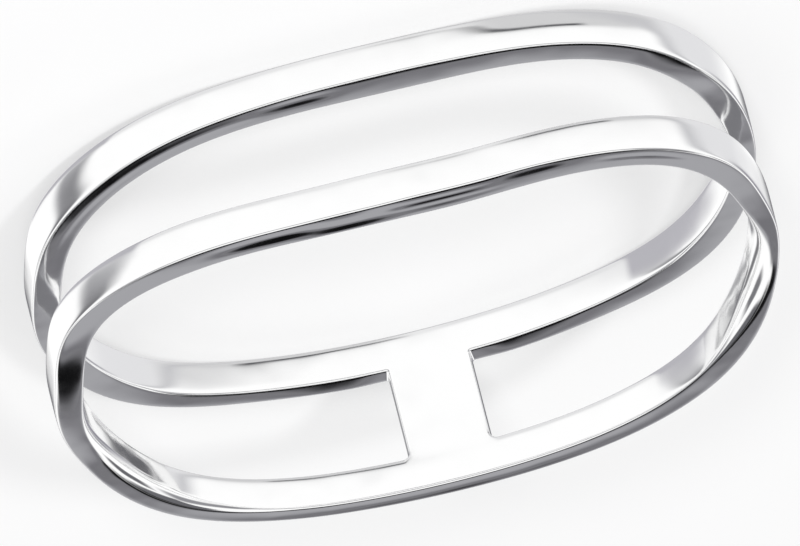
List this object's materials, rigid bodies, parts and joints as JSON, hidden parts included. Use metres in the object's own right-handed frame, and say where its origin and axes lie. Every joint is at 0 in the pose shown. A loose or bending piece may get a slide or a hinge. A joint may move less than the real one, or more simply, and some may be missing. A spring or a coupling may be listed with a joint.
{
  "type": "double ring",
  "caption": "Double ring in polished silver: slim parallel bands, open between them all over the finger and joined by a short flat bridge behind it.",
  "frame": {"origin": "on the surface that the ring lies on, under the middle of its box", "axes": "+Z along the finger hole, up from the surface; -Y towards the face of the ring, the flatter side worn on top of the finger; +Y towards the bridge; +X across the finger"},
  "size_m": [0.0184, 0.018, 0.0043],
  "materials": {
    "silver": "polished"
  },
  "bodies": {
    "root": {"double_ring": "silver"}
  },
  "joints": []
}
